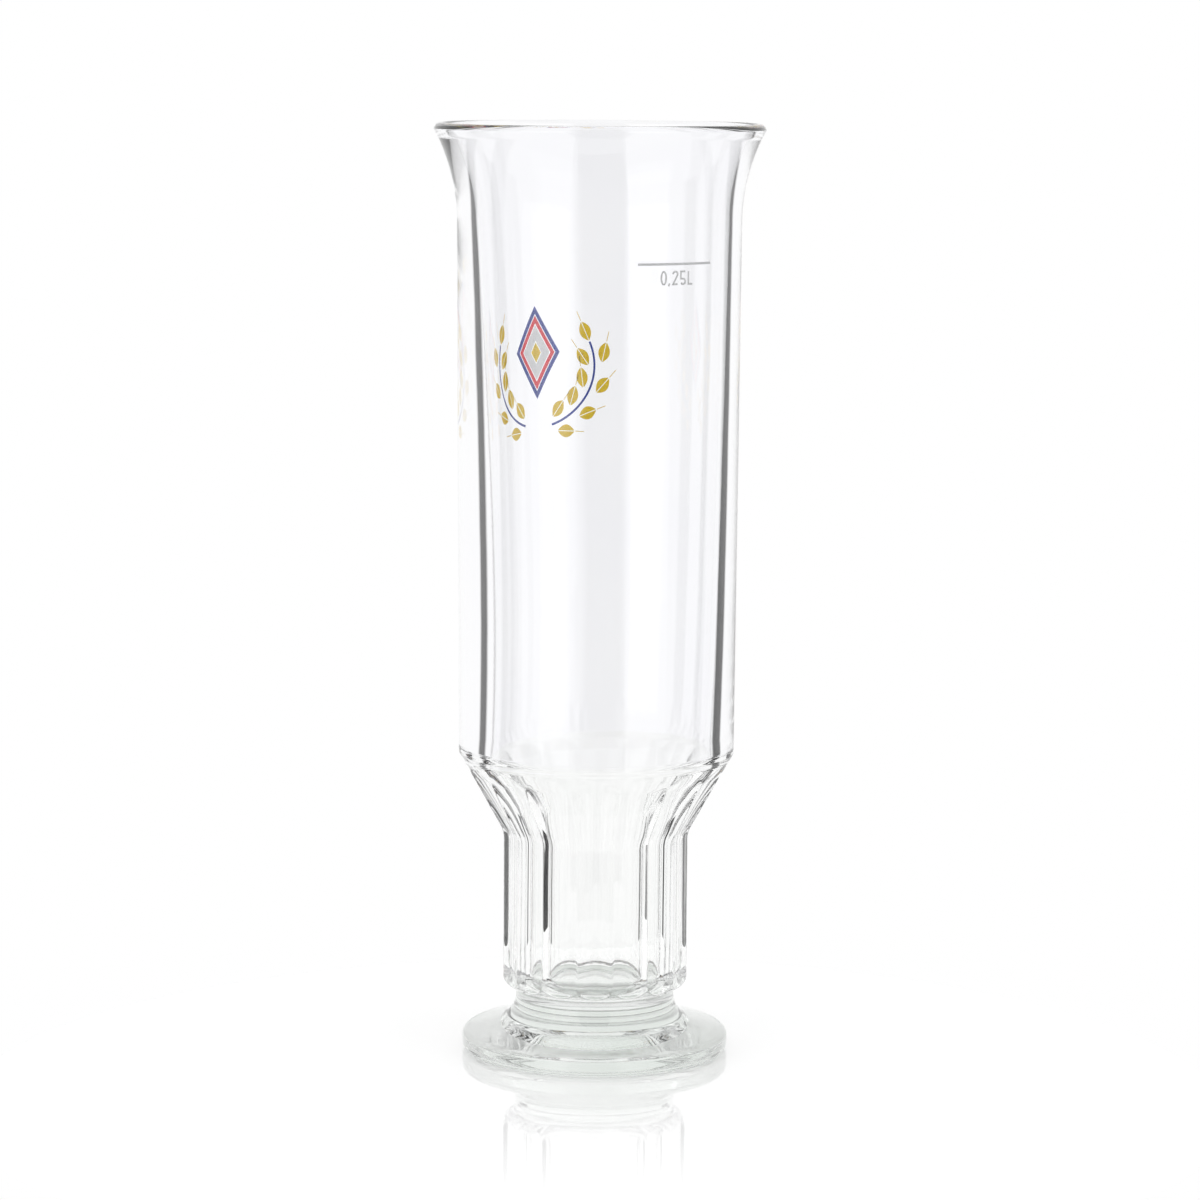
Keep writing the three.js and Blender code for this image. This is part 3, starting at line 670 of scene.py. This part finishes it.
band = FRAME_BAND + INK_SEAM
core_inset = 2 * band + FIELD_BAND + INK_SEAM
lozenge_bands = {"lozenge_frame": (0, FRAME_BAND, "navy_ink"),
                 "lozenge_border": (band, band + FRAME_BAND, "red_ink"),
                 "lozenge_field": (2 * band, 2 * band + FIELD_BAND, "pale_ink")}
for node, (outer_inset, inner_inset, slot) in lozenge_bands.items():
    lozenge_band = bmesh.new()
    ring(lozenge_band, lozenge(outer_inset), lozenge(inner_inset))
    lay_print(lozenge_band, [node], BADGE_AZIMUTH, BADGE_HEIGHT, slot, cuts=15)
core = bmesh.new()
core.faces.new([core.verts.new((*corner, 0)) for corner in lozenge(core_inset)])
lay_print(core, ["lozenge_core"], BADGE_AZIMUTH, BADGE_HEIGHT, "gold_ink", cuts=15)

grain_spread = (GRAIN_WIDTH + STALK_WIDTH) / 2 + GRAIN_LENGTH / 2 * math.sin(GRAIN_LEAN)
ear_reach = LOZENGE_WIDTH / 2 + EAR_CLEARANCE + 2 * grain_spread
ear_fall = LOZENGE_HEIGHT / 2 - LOZENGE_LIFT + EAR_CLEARANCE + grain_spread
for ear, sense in (("ear_left", -1), ("ear_right", 1)):
    turns = [math.radians(sense * (EAR_TURNS[0] + (EAR_TURNS[1] - EAR_TURNS[0]) * step / EAR_STEPS) - 90)
             for step in range(EAR_STEPS + 1)]
    curve = [Vector((ear_reach * math.cos(turn), ear_fall * math.sin(turn))) for turn in turns]
    lengths = [0]
    for here, after in zip(curve, curve[1:]):
        lengths.append(lengths[-1] + (after - here).length)
    stalk = bmesh.new()
    stroke(stalk, curve[::STALK_STRIDE], STALK_WIDTH)
    lay_print(stalk, [ear + "_stalk"], BADGE_AZIMUTH, BADGE_HEIGHT, "navy_ink")
    pair_count = int(lengths[-1] / (GRAIN_LENGTH + INK_SEAM))
    grains = bmesh.new()
    grain_nodes = [ear + "_tip"]
    end_heading = curve[-1] - curve[-2]
    tip_centre = curve[-1] + end_heading.normalized() * (INK_SEAM + GRAIN_LENGTH / 2)
    grain(grains, tip_centre, math.atan2(end_heading.x, end_heading.y))
    for pair in range(pair_count):
        wanted = lengths[-1] * (pair + 0.5) / pair_count
        place = next(index for index, length in enumerate(lengths) if length >= wanted)
        along = (curve[place] - curve[place - 1]).normalized()
        for row in (-1, 1):
            centre = curve[place] + Vector((along.y, -along.x)) * row * grain_spread
            grain(grains, centre, math.atan2(along.x, along.y) + row * GRAIN_LEAN)
            grain_nodes.append(f"{ear}_grain_{pair + 1}{'a' if row < 0 else 'b'}")
    lay_print(grains, grain_nodes, BADGE_AZIMUTH, BADGE_HEIGHT, "gold_ink", cuts=1)

# Table
# The glass stands on a round white table top. It is polished, so it mirrors the foot and the stem, and
# the polish fades with distance. It is lifted to white for what sees it, and keeps the glass's shadow.
TABLE_RADIUS = 0.13
TABLE_FRONT = 0.04
# The table top lies this far above the underside of the foot, so that the two are in contact.
TABLE_BED = 0.02 * MM
TABLE_WHITE = (0.8, 0.8, 0.8)
TABLE_LIFT = 0.4
TABLE_POLISH = 0.5
MIRROR_ROUGHNESS = 0.02
MIRROR_START = 0.03
MIRROR_END = 0.13
table_build = bmesh.new()
bmesh.ops.create_circle(table_build, cap_ends=True, segments=96, radius=TABLE_RADIUS,
                        matrix=Matrix.Translation((0, -TABLE_FRONT, TABLE_BED)))
table = end_build(table_build, "table")


def polished_white():
    """White lacquer with a polish that is strong beside the glass and fades towards the edge of the table."""
    material, tree = new_material("polished_white")
    start = Field(tree)
    place = start.node("ShaderNodeTexCoord", output="Object")
    reach = place.node("ShaderNodeVectorMath", {"operation": "LENGTH"}, {0: place}, "Value")
    fade = reach.maths("DIVIDE", MIRROR_END - reach, MIRROR_END - MIRROR_START, clamp=True)
    rays = start.node("ShaderNodeLightPath", output="Is Camera Ray")
    kinds = rays.socket.node.outputs
    shown = rays + Field(tree, kinds["Is Glossy Ray"]) + Field(tree, kinds["Is Transmission Ray"])
    white = start.node("ShaderNodeBsdfDiffuse", {}, {"Color": (*TABLE_WHITE, 1)})
    lift = start.node("ShaderNodeEmission", {}, {"Strength": shown.maths("MINIMUM", shown, 1) * TABLE_LIFT})
    lacquer = start.node("ShaderNodeAddShader", {}, {0: white, 1: lift})
    mirror = start.node("ShaderNodeBsdfGlossy", {}, {"Color": (1, 1, 1, 1), "Roughness": MIRROR_ROUGHNESS})
    whole = start.node("ShaderNodeMixShader", {}, {0: fade * TABLE_POLISH, 1: lacquer, 2: mirror})
    tree.links.new(whole.socket, tree.nodes["Material Output"].inputs["Surface"])
    return material


table.data.materials.append(polished_white())

# Studio
# A plain white studio. Matt boards stand behind the glass and beside it, out of the frame, and draw
# the edges of its walls and flutes, but aren't mirrored in the table. The room behind the camera is dim,
# and the front wall mirrors it as a grey band. A large soft box on each side in front lights the skin.
BOARD_REACH = 1.6
# Each board's angle from straight behind the glass, its distance, its width and its shade.
BOARDS = {"left": (-50, 0.25, 0.0625, 0.12), "right": (50, 0.25, 0.08, 0.02),
          "far_left": (-84, 0.25, 0.083, 0.03), "far_right": (82, 0.25, 0.05, 0.25),
          "dim_room": (180, 1.25, 1.1, 0.3)}
# Each edge thins out over this share of the board's distance.
FEATHER = 0.06
SOFT_BOX_DISTANCE = 1.1
SOFT_BOX_SIZE = 0.8
SOFT_BOX_RISE = 0.25
# Each soft box's angle, and its level, which gives its power by its area.
SOFT_BOXES = {"left": (-135, 0.5), "right": (140, 0.35)}
world = bpy.data.worlds.new("studio")
bpy.context.scene.world = world
world.use_nodes = True
world.node_tree.nodes["Background"].inputs["Color"].default_value = (1, 1, 1, 1)


def beside(azimuth, distance, height):
    """A place in the studio, by its angle from straight behind the glass, towards the right."""
    bearing = math.radians(azimuth)
    return Vector((distance * math.sin(bearing), distance * math.cos(bearing), height))


def matt_board(name, width, shade, feather):
    """A matt grey board that thins out to nothing at its two upright edges."""
    material, tree = new_material(name)
    start = Field(tree)
    place = start.node("ShaderNodeTexCoord", output="Object")
    across = start.node("ShaderNodeSeparateXYZ", {}, {0: place})
    thick = across.maths("DIVIDE", width / 2 - across.maths("ABSOLUTE", across), feather, clamp=True)
    grey = start.node("ShaderNodeBsdfDiffuse", {}, {"Color": (shade, shade, shade, 1)})
    open_air = start.node("ShaderNodeBsdfTransparent")
    whole = start.node("ShaderNodeMixShader", {}, {0: thick, 1: open_air, 2: grey})
    tree.links.new(whole.socket, tree.nodes["Material Output"].inputs["Surface"])
    return material


for side, (azimuth, distance, width, shade) in BOARDS.items():
    high = BOARD_REACH * distance
    low = -high
    board_mesh = bpy.data.meshes.new("board_" + side)
    corners = [(-width / 2, 0, low), (width / 2, 0, low), (width / 2, 0, high), (-width / 2, 0, high)]
    board_mesh.from_pydata(corners, [], [(0, 1, 2, 3)])
    board_mesh.materials.append(matt_board("matt_board_" + side, width, shade, FEATHER * distance))
    board = add_object("board_" + side, board_mesh)
    board.location = beside(azimuth, distance, 0)
    board.rotation_euler.z = -math.radians(azimuth)
    board.visible_camera = False
    board.visible_glossy = side == "dim_room"

for side, (azimuth, level) in SOFT_BOXES.items():
    lamp = bpy.data.lights.new("soft_box_" + side, "AREA")
    lamp.shape = "SQUARE"
    lamp.size = SOFT_BOX_SIZE
    lamp.energy = level * math.pi * SOFT_BOX_SIZE ** 2
    soft_box = add_object("soft_box_" + side, lamp)
    soft_box.location = beside(azimuth, SOFT_BOX_DISTANCE, SOFT_BOX_RISE)
    soft_box.rotation_euler = (-soft_box.location).to_track_quat("-Z", "Y").to_euler()

# Camera
# The photograph is taken from 0.9 m in front of the glass, from a little above its rim.
CAMERA_DISTANCE = 897 * MM
CAMERA_HEIGHT = 217.2 * MM
AIM_HEIGHT = 97.7 * MM
FRAME_PIXELS = 1200
# What one pixel covers at the glass, and the column of pixels that the axis of the glass stands in.
PIXEL = 0.2136 * MM
AXIS_PIXEL = 597.2
ROLL = 0.36
SENSOR_WIDTH = 36
camera_data = bpy.data.cameras.new("camera")
camera = add_object("camera", camera_data)
stand = Vector((0, -CAMERA_DISTANCE, CAMERA_HEIGHT))
aim = Vector((0, 0, AIM_HEIGHT)) - stand
turn = aim.to_track_quat("-Z", "Y").to_matrix().to_4x4()
camera.matrix_world = Matrix.Translation(stand) @ turn @ Matrix.Rotation(math.radians(ROLL), 4, "Z")
camera_data.sensor_width = SENSOR_WIDTH
camera_data.lens = SENSOR_WIDTH * aim.length / (FRAME_PIXELS * PIXEL)
camera_data.shift_x = (FRAME_PIXELS / 2 - AXIS_PIXEL) / FRAME_PIXELS
bpy.context.scene.camera = camera
bpy.context.scene.view_settings.view_transform = "Standard"

# Light
# Thick glass passes light on many times inside its walls, so the light gets that many turns.
GLASS_BOUNCES = 15
light_limits = bpy.context.scene.cycles
light_limits.max_bounces = GLASS_BOUNCES
light_limits.diffuse_bounces = GLASS_BOUNCES
light_limits.transmission_bounces = GLASS_BOUNCES
light_limits.glossy_bounces = GLASS_BOUNCES
light_limits.transparent_max_bounces = GLASS_BOUNCES
